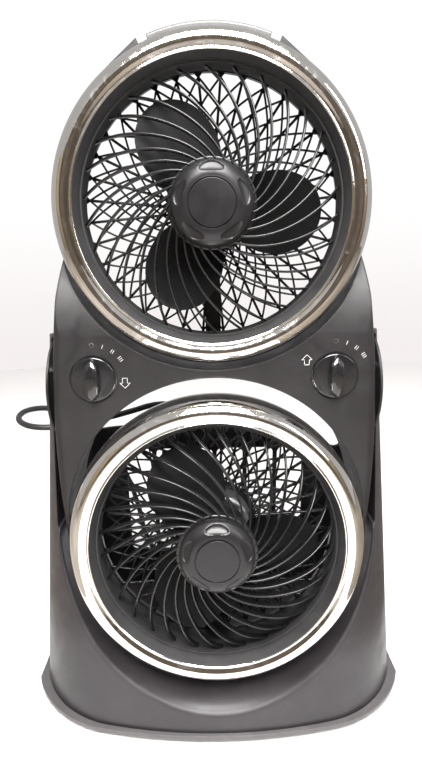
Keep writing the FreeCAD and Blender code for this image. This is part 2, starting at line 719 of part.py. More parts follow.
def cord_coil():
    """The outside of the coiled turns: a ring three cords wide, two high, with a stub for each end."""
    x, y = COIL_CENTRE
    low, high = 0.05, 4.0 * CORD_R + 0.05
    ring = rod_z(COIL_R + 3 * CORD_R, low, high, x, y)
    ring = ring.cut(rod_z(COIL_R - 3 * CORD_R, low - 1, high + 1, x, y))
    ends = [e for e in ring.Edges if isinstance(e.Curve, Part.Circle)]
    ring = ring.makeFillet(CORD_R - 0.3, ends)
    stub_in = rod_x(CORD_R, CORD[-1][0], x, CORD[-1][1], CORD[-1][2])
    stub_out = rod_x(CORD_R, x, LEAD[0][0], LEAD[0][1], LEAD[0][2])
    return ring.multiFuse([stub_in, stub_out])


def along(start, ahead, across):
    """A placement that points a shape's Z axis ahead and its Y axis across, at this point."""
    side_way = across.cross(ahead)
    return Placement(Vector(*start), Rotation(side_way, across, ahead, "ZYX"))


def cord_relief():
    """A tapered rubber sleeve from its clamp block to where the cord is free."""
    ahead = Vector(*CORD[0]) - Vector(*GLAND)
    cone = Part.makeCone(6.5, CORD_R + 0.8, ahead.Length)
    for k in range(4):
        z = 7.0 + 5.0 * k
        cone = cone.cut(rod_z(8.0, z, z + 1.4).cut(rod_z(4.0, z, z + 1.4)))
    cone.Placement = along(GLAND, ahead, Vector(0, 1, 0))
    return cone


def cord_gland():
    """The clamp block on the rear cover's inner face."""
    ahead = Vector(*CORD[0]) - Vector(*GLAND)
    body = Part.makeBox(18.0, 40.0, 22.0, Vector(-9.0, -9.0, -22.0))
    body.Placement = along(GLAND, ahead, Vector(0, 1, 0))
    return body.common(base_block(SKIN, TRAY_Z[1]))


def plug_parts():
    """The two-pin plug that lies on the floor at the cord's far end."""
    end, before = Vector(*LEAD[-1]), Vector(*LEAD[-2])
    ahead = end - before
    body = Part.makeCone(CORD_R + 0.6, 6.0, 16.0)
    grip = Part.makeBox(24.0, 14.0, PLUG_LENGTH - 14.0, Vector(-12.0, -7.0, 14.0))
    grip = grip.makeFillet(2.5, grip.Edges)
    body = body.fuse(grip)
    pins = [Part.makeBox(1.6, 6.4, 17.0, Vector(x - 0.8, -3.2, PLUG_LENGTH)) for x in (-6.35, 6.35)]
    pins = Part.makeCompound(pins)
    for shape in (body, pins):
        shape.Placement = along(LEAD[-1], ahead, Vector(0, 0, 1))
    return body, pins


# ---- writing the parts ---------------------------------------------------------------------------
def save_frame():
    save("frame_front_shell", frame_front_shell())
    save("frame_rear_shell", frame_rear_shell())
    save("carry_handle", carry_handle())
    save("tilt_bushes", tilt_bushes())
    save("frame_tilt_pins", both_sides(frame_pins()))
    save("frame_screws", frame_screws())
    for name, x in (("lower", -KNOB_X), ("upper", KNOB_X)):
        save(name + "_speed_switch", speed_switch(x))
        save(name + "_speed_knob", speed_knob(x))


def save_base():
    front, cover = base_shells()
    save("base_front_shell", front)
    save("base_rear_cover", cover)
    save("base_tray", base_tray())
    save("rubber_feet", rubber_feet())
    save("base_screws", base_screws())
    save("right_ear_cap", ear_cap())
    save("left_ear_cap", mirrored(ear_cap()))
    save("frame_bushes", frame_bushes())


def save_cord():
    save("cord_gland", cord_gland())
    save("cord_relief", cord_relief())
    save("power_cord", cord_tube("power_cord", CORD))
    save("cord_coil", cord_coil())
    save("plug_lead", cord_tube("plug_lead", LEAD))
    body, pins = plug_parts()
    save("mains_plug", body)
    save("plug_pins", pins)


os.makedirs("parts", exist_ok=True)
save_heads()
save_frame()
save_base()
save_cord()
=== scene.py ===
import json
import math
import bmesh
import bpy
from mathutils import Matrix, Vector


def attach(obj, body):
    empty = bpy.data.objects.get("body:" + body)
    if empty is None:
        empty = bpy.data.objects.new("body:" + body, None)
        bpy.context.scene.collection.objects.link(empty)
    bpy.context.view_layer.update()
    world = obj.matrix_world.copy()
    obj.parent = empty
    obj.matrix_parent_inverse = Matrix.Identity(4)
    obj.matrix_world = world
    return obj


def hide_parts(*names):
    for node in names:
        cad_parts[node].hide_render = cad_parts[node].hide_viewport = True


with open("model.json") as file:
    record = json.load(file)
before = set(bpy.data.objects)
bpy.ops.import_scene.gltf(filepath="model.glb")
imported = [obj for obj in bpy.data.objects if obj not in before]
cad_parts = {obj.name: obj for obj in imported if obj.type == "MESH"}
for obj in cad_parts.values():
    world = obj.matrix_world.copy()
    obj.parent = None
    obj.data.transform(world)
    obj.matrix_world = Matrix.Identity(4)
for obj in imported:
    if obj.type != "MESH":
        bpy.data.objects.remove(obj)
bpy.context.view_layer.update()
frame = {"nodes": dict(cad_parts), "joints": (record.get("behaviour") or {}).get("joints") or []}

# Twin-head table fan. Shapes are drawn in millimetres and placed in metres.
MM = 0.001
JOINTS = {joint["name"]: joint for joint in frame["joints"]}
NODES = frame["nodes"]

# The front panel, and the two knobs on it.
FRAME_FRONT = -60.0
KNOB_X, KNOB_Z = 103.5, 325.5
SHARP_DRAWN, SHARP_KEPT = math.radians(38.0), math.radians(32.0)


# ---- camera -----------------------------------------------------------------------------
CAMERA_AT = (-0.0029, -0.5264, 0.4331)
PITCH, ROLL = math.radians(13.66), math.radians(-0.93)
LENS, SENSOR_HEIGHT = 26.18, 36.0


def place_camera():
    ahead = Vector((0, math.cos(PITCH), -math.sin(PITCH)))
    up = Vector((0, math.sin(PITCH), math.cos(PITCH)))
    right = Vector((1, 0, 0))
    x_axis = right * math.cos(ROLL) + up * math.sin(ROLL)
    y_axis = up * math.cos(ROLL) - right * math.sin(ROLL)
    data = bpy.data.cameras.new("camera")
    data.sensor_fit = "VERTICAL"
    data.sensor_height = SENSOR_HEIGHT
    data.lens = LENS
    camera = bpy.data.objects.new("camera", data)
    bpy.context.scene.collection.objects.link(camera)
    turn = Matrix((x_axis, y_axis, -ahead)).transposed().to_4x4()
    camera.matrix_world = Matrix.Translation(CAMERA_AT) @ turn
    bpy.context.scene.camera = camera


place_camera()


# ---- material helpers -------------------------------------------------------------------
# Where the bowl's lip fades out, as y in metres: wide soft edges in front of the first, narrow
# ones behind the second.
LIP_FRONT, LIP_BACK = -0.062, -0.048


class Finish:
    """A procedural material, built up one node at a time."""

    def __init__(self, name, colour, roughness, **sockets):
        self.name = name
        self.material = bpy.data.materials.new(name)
        self.material.use_nodes = True
        self.tree = self.material.node_tree
        self.shader = self.tree.nodes["Principled BSDF"]
        self.where = self.tree.nodes.new("ShaderNodeTexCoord").outputs["Object"]
        self.shader.inputs["Base Color"].default_value = (*colour, 1.0)
        self.shader.inputs["Roughness"].default_value = roughness
        self.colour = colour
        self.normal = None
        for socket, value in sockets.items():
            self.shader.inputs[socket.replace("_", " ")].default_value = value
        self.material.diffuse_color = (*colour, 1.0)

    def join(self, source, target):
        self.tree.links.new(source, target)

    def noise(self, size, detail=3.0, stretch=None, distortion=0.0):
        """A noise value whose features are about this many millimetres across."""
        node = self.tree.nodes.new("ShaderNodeTexNoise")
        node.inputs["Scale"].default_value = 1.0 / (size * MM)
        node.inputs["Detail"].default_value = detail
        node.inputs["Distortion"].default_value = distortion
        if stretch:
            mapping = self.tree.nodes.new("ShaderNodeMapping")
            mapping.inputs["Scale"].default_value = stretch
            self.join(self.where, mapping.inputs["Vector"])
            self.join(mapping.outputs["Vector"], node.inputs["Vector"])
        else:
            self.join(self.where, node.inputs["Vector"])
        return node.outputs["Fac"]

    def cells(self, size):
        node = self.tree.nodes.new("ShaderNodeTexVoronoi")
        node.inputs["Scale"].default_value = 1.0 / (size * MM)
        self.join(self.where, node.inputs["Vector"])
        return node.outputs["Distance"]

    def span(self, value, low, high, start=0.3, end=0.7):
        node = self.tree.nodes.new("ShaderNodeMapRange")
        node.interpolation_type = "SMOOTHSTEP"
        limits = {"From Min": start, "From Max": end, "To Min": low, "To Max": high}
        for name, number in limits.items():
            node.inputs[name].default_value = number
        self.join(value, node.inputs["Value"])
        return node.outputs["Result"]

    def tint(self, value, other, amount=1.0, start=0.35, end=0.65):
        """Colour drifts towards another one where the value is high."""
        mix = self.tree.nodes.new("ShaderNodeMix")
        mix.data_type = "RGBA"
        self.join(self.span(value, 0.0, amount, start, end), mix.inputs["Factor"])
        current = self.shader.inputs["Base Color"]
        if current.is_linked:
            self.join(current.links[0].from_socket, mix.inputs["A"])
        else:
            mix.inputs["A"].default_value = (*self.colour, 1.0)
        mix.inputs["B"].default_value = (*other, 1.0)
        self.join(mix.outputs["Result"], current)

    def sheen_of(self, value, low, high, start=0.3, end=0.7):
        """Roughness runs from low to high with the value."""
        self.join(self.span(value, low, high, start, end), self.shader.inputs["Roughness"])

    def soft_edges(self, radius, lip=0.0):
        """Rounds the look of hard edges over radius millimetres, and over lip at the bowl's lip."""
        node = self.tree.nodes.new("ShaderNodeBevel")
        node.samples = 8 if lip else 4
        node.inputs["Radius"].default_value = radius * MM
        if lip:
            parts = self.tree.nodes.new("ShaderNodeSeparateXYZ")
            self.join(self.where, parts.inputs["Vector"])
            wide = self.span(parts.outputs["Y"], lip * MM, radius * MM, LIP_FRONT, LIP_BACK)
            self.join(wide, node.inputs["Radius"])
        self.normal = node.outputs["Normal"]
        self.join(self.normal, self.shader.inputs["Normal"])

    def relief(self, value, depth, strength=0.5):
        """A bump this many millimetres deep."""
        node = self.tree.nodes.new("ShaderNodeBump")
        node.inputs["Strength"].default_value = strength
        node.inputs["Distance"].default_value = depth * MM
        self.join(value, node.inputs["Height"])
        if self.normal:
            self.join(self.normal, node.inputs["Normal"])
        self.normal = node.outputs["Normal"]
        self.join(self.normal, self.shader.inputs["Normal"])


def moulded(name, colour, roughness, grain=0.5, edge=0.0, lip=0.0, **sockets):
    """Moulded plastic: fine grain, slow colour drift and faint handling smudges."""
    made = Finish(name, colour, roughness, **sockets)
    lighter = tuple(min(1.0, c * 1.35 + 0.004) for c in colour)
    darker = tuple(c * 0.8 for c in colour)
    made.tint(made.noise(55.0, 4.0), lighter, 0.5)
    made.tint(made.noise(9.0, 5.0, distortion=0.6), darker, 0.35)
    smudge = made.noise(28.0, 6.0, distortion=1.2)
    made.sheen_of(smudge, roughness * 0.88, min(1.0, roughness * 1.18))
    if edge:
        made.soft_edges(edge, lip)
    made.relief(made.noise(grain, 2.0), 0.05, 0.35)
    made.relief(made.noise(16.0, 2.0), 0.12, 0.12)
    return made


def metal(name, colour, roughness, brushed):
    """Metal with slow stains and a brushed grain, whose fineness along each axis is given."""
    made = Finish(name, colour, roughness, Metallic=1.0)
    made.tint(made.noise(20.0, 5.0), tuple(c * 0.86 for c in colour), 0.6)
    made.sheen_of(made.noise(7.0, 6.0, distortion=0.8), roughness * 0.75, roughness * 1.5)
    made.relief(made.noise(0.35, 2.0, stretch=brushed), 0.02, 0.35)
    return made


body_plastic = moulded("body_plastic", (0.0125, 0.0110, 0.0125), 0.44, edge=2.4)
base_plastic = moulded("base_plastic", (0.025, 0.022, 0.025), 0.38, edge=2.0, lip=7.0)
tray_plastic = moulded("tray_plastic", (0.085, 0.080, 0.082), 0.36, edge=0.8)
handle_plastic = moulded("handle_plastic", (0.110, 0.110, 0.108), 0.36, edge=1.0)
grille_black = moulded("grille_black", (0.007, 0.007, 0.0075), 0.27, 0.8)
rim_black = moulded("rim_black", (0.020, 0.0195, 0.020), 0.66, 0.8)
duct_black = moulded("duct_black", (0.008, 0.008, 0.009), 0.55, edge=0.8)
hub_grey = moulded("hub_grey", (0.011, 0.0105, 0.0115), 0.34, 0.35, Specular_IOR_Level=0.4)
blade_black = moulded("blade_black", (0.0035, 0.0035, 0.004), 0.55, 0.6, Specular_IOR_Level=0.25)
switch_plastic = moulded("switch_plastic", (0.55, 0.54, 0.50), 0.5, edge=0.4)
bush_nylon = moulded("bush_nylon", (0.60, 0.58, 0.50), 0.5, edge=0.3)
foot_rubber = moulded("foot_rubber", (0.016, 0.016, 0.016), 0.75, 0.3, edge=0.6)
plug_pvc = moulded("plug_pvc", (0.018, 0.018, 0.019), 0.5, 0.4, edge=0.6)
pin_steel = metal("pin_steel", (0.62, 0.62, 0.63), 0.28, (6.0, 0.4, 0.4))
motor_steel = metal("motor_steel", (0.46, 0.46, 0.47), 0.36, (0.3, 6.0, 0.3))
screw_steel = metal("screw_steel", (0.18, 0.18, 0.19), 0.38, (0.4, 4.0, 0.4))
motor_copper = metal("motor_copper", (0.66, 0.33, 0.17), 0.34, (3.0, 0.3, 3.0))
bearing_bronze = metal("bearing_bronze", (0.58, 0.42, 0.22), 0.40, (1.0, 1.0, 1.0))
plug_brass = metal("plug_brass", (0.72, 0.60, 0.30), 0.25, (0.5, 4.0, 0.5))


def chrome():
    made = Finish("chrome_ring", (0.83, 0.82, 0.79), 0.07, Metallic=1.0)
    made.tint(made.noise(34.0, 4.0), (0.74, 0.70, 0.63), 0.45)
    made.sheen_of(made.noise(11.0, 8.0, distortion=1.5), 0.045, 0.20, 0.42, 0.72)
    made.relief(made.noise(60.0, 1.0), 0.35, 0.10)
    made.relief(made.cells(3.0), 0.010, 0.10)
    return made


def gloss_black():
    made = Finish("knob_black", (0.010, 0.010, 0.011), 0.12, Coat_Weight=0.5, Coat_Roughness=0.05)
    made.tint(made.noise(12.0, 3.0), (0.018, 0.018, 0.020), 0.5)
    made.sheen_of(made.noise(6.0, 6.0, distortion=1.0), 0.08, 0.22)
    made.relief(made.noise(5.0, 2.0), 0.05, 0.08)
    return made


def sheath():
    made = Finish("cord_pvc", (0.014, 0.014, 0.015), 0.42)
    made.tint(made.noise(14.0, 4.0), (0.024, 0.024, 0.026), 0.6)
    made.sheen_of(made.noise(5.0, 4.0), 0.34, 0.52)
    made.relief(made.noise(0.6, 2.0), 0.03, 0.3)
    return made


def ink():
    made = Finish("print_grey", (0.66, 0.66, 0.65), 0.55)
    made.tint(made.noise(1.2, 3.0), (0.46, 0.46, 0.46), 0.7)
    made.relief(made.noise(0.4, 2.0), 0.01, 0.2)
    return made


chrome_ring = chrome()
knob_black = gloss_black()
cord_pvc = sheath()
print_grey = ink()


# ---- mains cord: one smooth line, its put-away length in a coil behind the base ---------
CORD_R = 3.25
# From the base's gland, out at the left and down to the floor.
CORD = [
    (13.0, 90.5, 240.0), (-45.5, 90.0, 268.0), (-108.0, 80.0, 251.0), (-166.0, 64.0, 243.5),
    (-202.0, 62.0, 243.5), (-227.0, 86.0, 246.0), (-227.0, 120.0, 248.0), (-201.0, 144.0, 244.0),
    (-157.0, 152.0, 222.0), (-124.0, 156.0, 172.0), (-103.0, 163.0, 107.0), (-96.0, 170.0, 47.0),
    (-70.0, 176.0, 3.4), (-20.0, 174.0, 3.3),
]
COIL_CENTRE = (12.0, 218.6)
COIL_OUTER = 44.6
COIL_TURNS = 4
COIL_STEPS = 16
COIL_LOW, COIL_TOP = 3.3, 9.95
# The turn at which the coil starts to climb onto itself, and the part of a turn that takes.
CLIMB_START, CLIMB_TURNS = 1.8, 0.4
# From the coil to the plug.
LEAD = [(30.0, 173.6, 9.6), (48.0, 172.6, 6.4), (74.5, 171.0, 3.7), (105.0, 178.0, 7.0),
        (131.0, 192.0, 7.05)]


def coil_points():
    """Two turns winding inward on the floor, then two winding outward on top of them."""
    gap = 2 * CORD_R + 0.2
    points = []
    for k in range(COIL_TURNS * COIL_STEPS):
        turns = k / COIL_STEPS
        radius = COIL_OUTER - gap * min(turns, COIL_TURNS - turns)
        lift = min(1.0, max(0.0, (turns - CLIMB_START) / CLIMB_TURNS))
        z = COIL_LOW + gap * lift * lift * (3 - 2 * lift)
        angle = math.radians(-90.0 + 360.0 * turns)
        wide = radius / math.cos(math.pi / COIL_STEPS)
        points.append((COIL_CENTRE[0] + wide * math.cos(angle),
                       COIL_CENTRE[1] + wide * math.sin(angle), z))
    points.append((COIL_CENTRE[0], COIL_CENTRE[1] - COIL_OUTER, COIL_TOP))
    return points


def mains_cord():
    points = CORD + coil_points() + LEAD
    curve = bpy.data.curves.new("mains_cord", "CURVE")
    curve.dimensions = "3D"
    spline = curve.splines.new("NURBS")
    spline.points.add(len(points) - 1)
    for control, p in zip(spline.points, points):
        control.co = (p[0] * MM, p[1] * MM, p[2] * MM, 1.0)
    spline.order_u = 3
    spline.use_endpoint_u = True
    spline.resolution_u = 8
    curve.bevel_depth = CORD_R * MM
    curve.bevel_resolution = 5
    curve.use_fill_caps = True
    curve.materials.append(cord_pvc.material)
    piece = bpy.data.objects.new("mains_cord", curve)
    bpy.context.scene.collection.objects.link(piece)
    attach(piece, "base")
    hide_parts("power_cord", "cord_coil", "plug_lead")


mains_cord()


# ---- shape helpers ----------------------------------------------------------------------
def circle_through(a, b, c):
    """The centre and radius of the circle through three points."""
    d = 2 * (a[0] * (b[1] - c[1]) + b[0] * (c[1] - a[1]) + c[0] * (a[1] - b[1]))
    sa, sb, sc = (p[0] ** 2 + p[1] ** 2 for p in (a, b, c))
    x = (sa * (b[1] - c[1]) + sb * (c[1] - a[1]) + sc * (a[1] - b[1])) / d
    y = (sa * (c[0] - b[0]) + sb * (a[0] - c[0]) + sc * (b[0] - a[0])) / d
    return x, y, math.hypot(a[0] - x, a[1] - y)


def arc(a, through, b, steps):
    """Points on the arc from a to b, without a."""
    x, y, r = circle_through(a, through, b)
    start, middle, end = (math.atan2(p[1] - y, p[0] - x) for p in (a, through, b))
    sweep = (end - start) % math.tau
    if (middle - start) % math.tau > sweep:
        sweep -= math.tau
    turns = [start + sweep * k / steps for k in range(1, steps + 1)]
    return [(x + r * math.cos(t), y + r * math.sin(t)) for t in turns]


def outline(start, steps, smooth=8):
    """Points of a line. A step is a point for a straight run, or (through, end) for an arc."""
    points = [start]
    for step in steps:
        if isinstance(step[0], tuple):
            points += arc(points[-1], step[0], step[1], smooth)
        else:
            points.append(step)
    return points


def smooth_line(points, steps):
    """A Catmull-Rom line through the points."""
    ends = [points[0]] + points + [points[-1]]
    line = [points[0]]
    for a, b, c, d in zip(ends, ends[1:], ends[2:], ends[3:]):
        for k in range(1, steps + 1):
            t = k / steps
            line.append(tuple(
                0.5 * (2 * q + (r - p) * t + (2 * p - 5 * q + 4 * r - s) * t * t
                       + (3 * q - p - 3 * r + s) * t ** 3)
                for p, q, r, s in zip(a, b, c, d)))
    return line


def height_on_arc(a, through, b):
    """The second coordinate on an arc as a function of the first."""
    x, y, r = circle_through(a, through, b)
    sign = 1.0 if through[1] > y else -1.0
    return lambda at: y + sign * math.sqrt(max(0.0, r * r - (at - x) ** 2))


def lathe(mesh, profile, segments=192, closed=True):
    """Spins a (radius, y) profile round the Y axis."""
    rings = []
    for r, y in profile:
        if r < 1e-6:
            rings.append([mesh.verts.new((0, y, 0))])
            continue
        turns = [math.tau * k / segments for k in range(segments)]
        rings.append([mesh.verts.new((r * math.cos(t), y, r * math.sin(t))) for t in turns])
    pairs = list(zip(rings, rings[1:]))
    if closed:
        pairs.append((rings[-1], rings[0]))
    for first, second in pairs:
        if len(first) == 1 and len(second) == 1:
            continue
        for k in range(segments):
            n = (k + 1) % segments
            corners = []
            for vert in (first[k % len(first)], first[n % len(first)], second[n % len(second)],
                         second[k % len(second)]):
                if vert not in corners:
                    corners.append(vert)
            mesh.faces.new(corners)


def loft(mesh, rings):
    """Joins closed rings of equal length into a tube, with both ends closed."""
    made = [[mesh.verts.new(p) for p in ring] for ring in rings]
    count = len(made[0])
    for first, second in zip(made, made[1:]):
        for k in range(count):
            n = (k + 1) % count
            mesh.faces.new((first[k], first[n], second[n], second[k]))
    mesh.faces.new(list(reversed(made[0])))
    mesh.faces.new(made[-1])


def place_piece(name, mesh, where, body, finish, stands_for=()):
    """Turns a bmesh drawn in millimetres into an object that rides on a body."""
    bmesh.ops.recalc_face_normals(mesh, faces=mesh.faces[:])
    data = bpy.data.meshes.new(name)
    mesh.to_mesh(data)
    mesh.free()
    data.transform(where @ Matrix.Scale(MM, 4))
    data.shade_smooth()
    data.set_sharp_from_angle(angle=SHARP_DRAWN)
    data.materials.append(finish.material)
    piece = bpy.data.objects.new(name, data)
    bpy.context.scene.collection.objects.link(piece)
    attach(piece, body)
    if stands_for:
        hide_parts(*stands_for)
    return piece


def head_place(name):
    """Where a head's ring is, with local Y running back along the fan's shaft."""
    spin = JOINTS[name + "_fan_spin"]
    back = -Vector(spin["axis"]).normalized()
    across = Vector((1, 0, 0))
    turn = Matrix((across, back, across.cross(back))).transposed().to_4x4()
    return Matrix.Translation(Vector(spin["pos_m"])) @ turn


# ---- head pieces, in millimetres round the ring's centre --------------------------------
RING_R = 125.0
GRILLE_R = 104.7
THROAT_R = 108.9
VANES = 30
VANE_PITCH = math.tan(math.radians(40.0))
# The vanes' outer ends curve back into the duct: from this radius, over this run, by this depth.
CURL_R, CURL_RUN, CURL_DEPTH = 78.0, 26.6, 11.0
# Five thumb dimples round the cap.
DIMPLES, DIMPLE_R, DIMPLE_DEPTH = 5, 26.2, 2.6
DIMPLE_WIDE, DIMPLE_TALL = 9.8, 3.7
REAR_RIBS = 36
REAR_HUB_R, REAR_RIM_R, REAR_RUN = 35.0, 111.6, 72.0
CROSS_RIBS = 36
CROSS_PITCH = math.tan(math.radians(38.0))
BLADES = (117.0, -8.0, 241.0)


def bezel_ring():
    """The chrome ring. Its inner throat is matt black."""
    mesh = bmesh.new()
    nose = smooth_line([
        (GRILLE_R, 5.7), (105.3, 3.2), (107.0, -1.2), (108.4, -4.6), (109.4, -5.7), (110.3, -5.2),
        (111.0, -4.5), (112.4, -4.9), (115.2, -6.0), (118.2, -6.1), (121.4, -4.7), (124.2, -1.8),
        (126.5, 3.2), (128.1, 9.5), (129.2, 17.0), (129.45, 23.0), (129.1, 27.6),
    ], 5)
    profile = nose + outline((128.7, 28.0), [
        (126.9, 28.0), (RING_R + 2.2, 22.0), ((RING_R + 0.4, 8.9), (RING_R - 3.2, -0.2)),
        ((122.0, -2.4), (117.0, -4.2)), (112.0, -2.9), (110.4, -2.6), (GRILLE_R + 2.2, 5.9),
    ], 6)
    lathe(mesh, profile, 256)
    for face in mesh.faces:
        middle = face.calc_center_median()
        if math.hypot(middle.x, middle.z) < THROAT_R:
            face.material_index = 1
    return mesh


def rounded_section(half, front, back):
    """A vane's section: full round at the front, softened corners at the back."""
    points = []
    for k in range(6):
        a = math.pi * k / 5
        points.append((-half * math.cos(a), front + half - half * math.sin(a)))
    points += [(half, back - 0.3 * half), (0.7 * half, back),
               (-0.7 * half, back), (-half, back - 0.3 * half)]
    return points


def sweep_vane(mesh, start, radii, turn_at, half, front_at, back_at):
    """One vane from the hub to the rim. turn_at gives its angle at a radius."""
    rings = []
    step = 0.05
    for r in radii:
        angle = start + turn_at(r)
        slope = (turn_at(r + step) - turn_at(r - step)) / (2 * step) * r
        lean = math.atan(slope)
        across = angle + lean + math.pi / 2
        x, z = r * math.cos(angle), r * math.sin(angle)
        ring = []
        for offset, y in rounded_section(half, front_at(r), back_at(r)):
            ring.append((x + offset * math.cos(across), y, z + offset * math.sin(across)))
        rings.append(ring)
    loft(mesh, rings)


def steps_between(low, high, count):
    return [low + (high - low) * k / count for k in range(count + 1)]


def curl(r):
    return CURL_DEPTH * max(0.0, (r - CURL_R) / CURL_RUN) ** 2


def front_grille():
    """A matt rim, spiral vanes and the plate that the cap sits on."""
    mesh = bmesh.new()
    front = height_on_arc((32.0, -15.0), (66.0, -9.5), (105.5, 3.5))
    back = height_on_arc((32.0, -8.0), (66.0, -3.0), (105.5, 9.0))
    lathe(mesh, outline((103.4, 6.2), [
        ((103.6, 5.9), (103.9, 5.9)), (107.4, 5.9), (107.6, 6.1), (107.6, 7.0), (106.0, 7.0),
        (106.0, 11.0), (105.4, 11.6), (105.4, 27.0), (103.4, 27.0),
    ], 4))
    for face in mesh.faces:
        face.material_index = 1
    for k in range(VANES):
        sweep_vane(mesh, math.tau * k / VANES, steps_between(32.8, 104.6, 26),
                   lambda r: VANE_PITCH * math.log(r / 32.5), 0.85,
                   lambda r: front(r) + curl(r), lambda r: back(r) + curl(r))
    lathe(mesh, outline((0.0, -14.0), [
        (33.2, -14.0), ((34.3, -13.4), (34.5, -12.0)), (34.5, -7.0), (31.5, -7.0), (31.5, -11.5),
        (0.0, -11.5),
    ]), 128, False)
    return mesh


def hub_cap():
    """A domed cap with a flat disc in a groove, and dimples pressed into its shoulder."""
    mesh = bmesh.new()
    disc, groove = 17.6, -25.4
    profile = outline((0.0, -14.0), [
        (31.5, -14.0), (31.5, -17.8), ((31.2, -19.3), (30.2, -20.9)),
        ((26.6, -24.2), (disc + 1.3, -26.35)), ((disc + 1.05, -26.3), (disc + 1.0, -26.1)),
        (disc + 1.0, groove), (disc, groove), (disc, -26.8),
        ((disc - 0.12, -27.08), (disc - 0.4, -27.2)), (9.0, -27.2), (0.0, -27.2),
    ], 26)
    lathe(mesh, profile, 288, False)
    for vert in mesh.verts:
        r = math.hypot(vert.co.x, vert.co.z)
        if r < disc + 1.4 or vert.co.y > -16.0:
            continue
        angle = math.atan2(vert.co.z, vert.co.x)
        for k in range(DIMPLES):
            middle = math.radians(90.0 + 360.0 * k / DIMPLES)
            off = (angle - middle + math.pi) % math.tau - math.pi
            away = math.hypot(off * r / DIMPLE_WIDE, (r - DIMPLE_R) / DIMPLE_TALL)
            if away < 1.0:
                vert.co.y += DIMPLE_DEPTH * (1.0 - away ** 2) ** 0.6
    return mesh


def rear_front(r):
    return 60.0 - 5.5 * (r - REAR_HUB_R) / REAR_RUN


def rear_back(r):
    return 64.0 - 6.0 * (r - REAR_HUB_R) / REAR_RUN


def rear_grille():
    """Straight ribs, two crossing families of thin ones, a broad strut below, rim and hub ring."""
    mesh = bmesh.new()
    for k in range(REAR_RIBS):
        start = math.radians(5.0 + k * 360.0 / REAR_RIBS)
        sweep_vane(mesh, start, [REAR_HUB_R, 60.0, 85.0, REAR_RIM_R], lambda r: 0.0, 1.15,
                   rear_front, rear_back)
    for way in (-1.0, 1.0):
        for k in range(CROSS_RIBS):
            start = math.tau * (k + 0.5) / CROSS_RIBS
            sweep_vane(mesh, start, steps_between(REAR_HUB_R, REAR_RIM_R, 14),
                       lambda r: way * CROSS_PITCH * math.log(r / REAR_HUB_R), 0.85,
                       lambda r: rear_front(r) + 0.7, lambda r: rear_back(r) - 0.7)
    strut = []
    for r, low, high in ((34.0, 59.3, 65.8), (70.0, 56.8, 63.0), (111.5, 54.4, 59.4)):
        section = ((-7.0, low), (-6.0, low), (6.0, low), (7.0, low + 0.8),
                   (7.0, high - 1.0), (6.0, high), (-6.0, high), (-7.0, high - 1.0))
        strut.append([(x, y, -r) for x, y in section])
    loft(mesh, strut)
    lathe(mesh, outline((110.0, 54.3), [
        (110.3, 54.0), (115.2, 54.0), (115.5, 54.3), (115.5, 57.0),
        ((114.9, 58.8), (113.5, 59.5)), (110.4, 59.5), (110.0, 59.1),
    ], 5))
    lathe(mesh, outline((33.0, 58.8), [
        (33.3, 58.5), (36.7, 58.5), (37.0, 58.8), (37.0, 66.2),
        ((36.8, 66.8), (36.2, 67.0)), (33.8, 67.0), (33.0, 66.4),
    ], 4), 128)
    return mesh


def fan_blade():
    """Three cambered paddles on a hollow hub. A paddle's x runs outward and its z across."""
    mesh = bmesh.new()
    lathe(mesh, outline((4.0, 8.0), [
        (21.0, 8.0), ((26.5, 9.5), (28.0, 14.0)), (28.0, 33.4), (27.4, 34.0), (25.5, 34.0),
        (25.5, 12.0), (9.0, 12.0), (9.0, 30.0), (4.0, 30.0),
    ]), 96)
    root_x, length = 16.0, 74.0
    low_end, high_end = 70.0, 71.0
    root_twist, twist_lost = 28.0, 8.0
    arch, half_thick, middle_y = 2.2, 1.05, 22.0
    low_root = height_on_arc((root_x, -14.0), (42.0, -33.0), (low_end, -29.5))
    high_root = height_on_arc((high_end, 33.0), (40.0, 35.0), (root_x, 17.0))
    x_tip, y_tip, r_tip = circle_through((low_end, -29.5), (90.0, 1.0), (high_end, 33.0))

    def edges_at(x):
        if x <= high_end:
            return low_root(min(x, low_end)), high_root(x)
        reach = math.sqrt(max(0.0, r_tip ** 2 - (x - x_tip) ** 2))
        return y_tip - reach, y_tip + reach

    def surface(x, share, side):
        low, high = edges_at(x)
        z = low + (high - low) * share
        along = (x - root_x) / length
        twist = math.radians(root_twist - twist_lost * along)
        camber = arch * (1.0 - (2.0 * share - 1.0) ** 2) * min(1.0, (high - low) / 30.0)
        rim = min(1.0, 6.0 * min(share, 1.0 - share) + 0.12, 0.12 + (x_tip + r_tip - x) / 4.0)
        y = -z * math.sin(twist) + camber * math.cos(twist) + side * half_thick * math.sqrt(rim)
        return Vector((x, middle_y + y, z * math.cos(twist)))

    to_tip = x_tip + r_tip - 0.05 - high_end
    xs = steps_between(24.0, low_end, 12)
    xs += [high_end + to_tip * math.sin(math.pi / 2 * k / 9) for k in range(1, 10)]
    shares = [0.5 - 0.5 * math.cos(math.pi * k / 18) for k in range(19)]
    for blade in BLADES:
        turn = Matrix.Rotation(math.radians(-blade), 4, "Y")
        rings = []
        for x in xs:
            ring = [turn @ surface(x, share, -1.0) for share in shares]
            ring += [turn @ surface(x, share, 1.0) for share in reversed(shares)]
            rings.append(ring)
        loft(mesh, rings)
    return mesh


# Each node that a head piece stands for, what draws it, its body and its finish.
HEAD_PIECES = (
    ("bezel_ring", bezel_ring, "head", chrome_ring),
    ("front_grille", front_grille, "head", grille_black),
    ("hub_cap", hub_cap, "head", hub_grey),
    ("rear_grille", rear_grille, "head", grille_black),
    ("fan_blade", fan_blade, "fan", blade_black),
)

